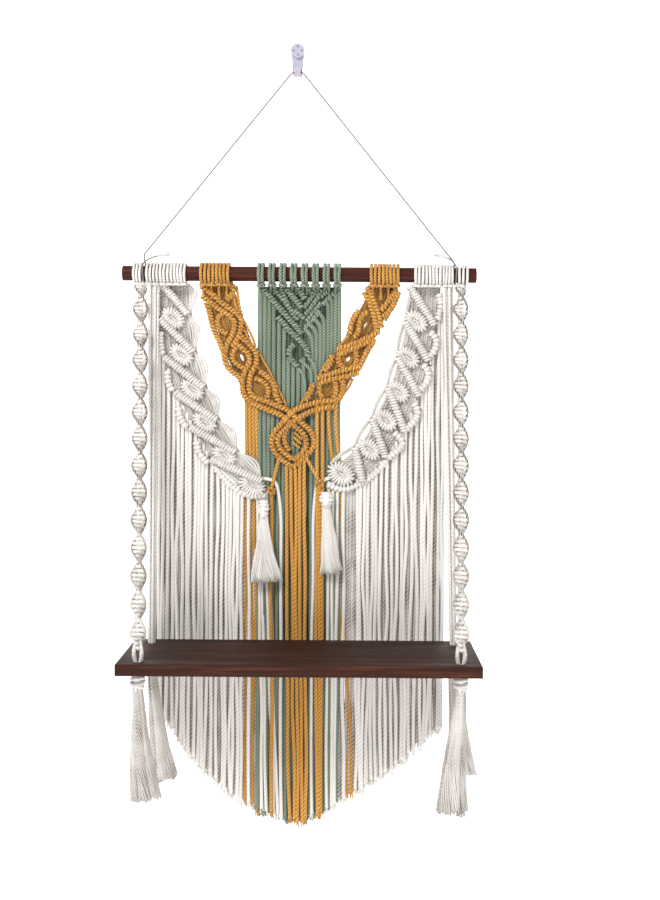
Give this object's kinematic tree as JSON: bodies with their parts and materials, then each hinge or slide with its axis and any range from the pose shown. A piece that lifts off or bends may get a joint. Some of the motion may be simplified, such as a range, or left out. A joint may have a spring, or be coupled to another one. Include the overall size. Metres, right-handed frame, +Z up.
{
  "type": "macrame wall shelf with wooden rod and wall hook",
  "caption": "Wall-hung wooden shelf board on knotted cord legs, with a knotted cord curtain behind it, on a wooden rod that a thin cord holds on a wall hook.",
  "frame": {"origin": "centre of the wall hook's back face, on the wall", "axes": "+Z up, +X to the right as seen from the room, +Y into the wall"},
  "size_m": [0.4777, 0.17, 1.0512],
  "materials": {
    "shelf_wood": "dark stained, satin",
    "rod_wood": "dark stained, satin",
    "white_cord": "twisted cotton cord",
    "yellow_cord": "twisted cotton cord",
    "green_cord": "twisted cotton cord",
    "twine": "thin twisted twine",
    "hook_plastic": "moulded, glossy",
    "pin_steel": "zinc plated"
  },
  "bodies": {
    "root": {"rod": "rod_wood", "shelf": "shelf_wood", "wall_hook": "hook_plastic", "hook_pin_1": "pin_steel", "hook_pin_2": "pin_steel", "hook_pin_3": "pin_steel", "hook_pin_4": "pin_steel", "hanging_cord": "twine", "spiral_left": "white_cord", "spiral_right": "white_cord", "back_cords_left": "white_cord", "back_cords_right": "white_cord", "white_band_left": "white_cord", "white_band_right": "white_cord", "yellow_chain": "yellow_cord", "green_panel": "green_cord", "small_tassel_left": "white_cord", "small_tassel_right": "white_cord", "shelf_tassel_front_left": "white_cord", "shelf_tassel_front_right": "white_cord", "shelf_tassel_back_left": "white_cord", "shelf_tassel_back_right": "white_cord"}
  },
  "joints": []
}
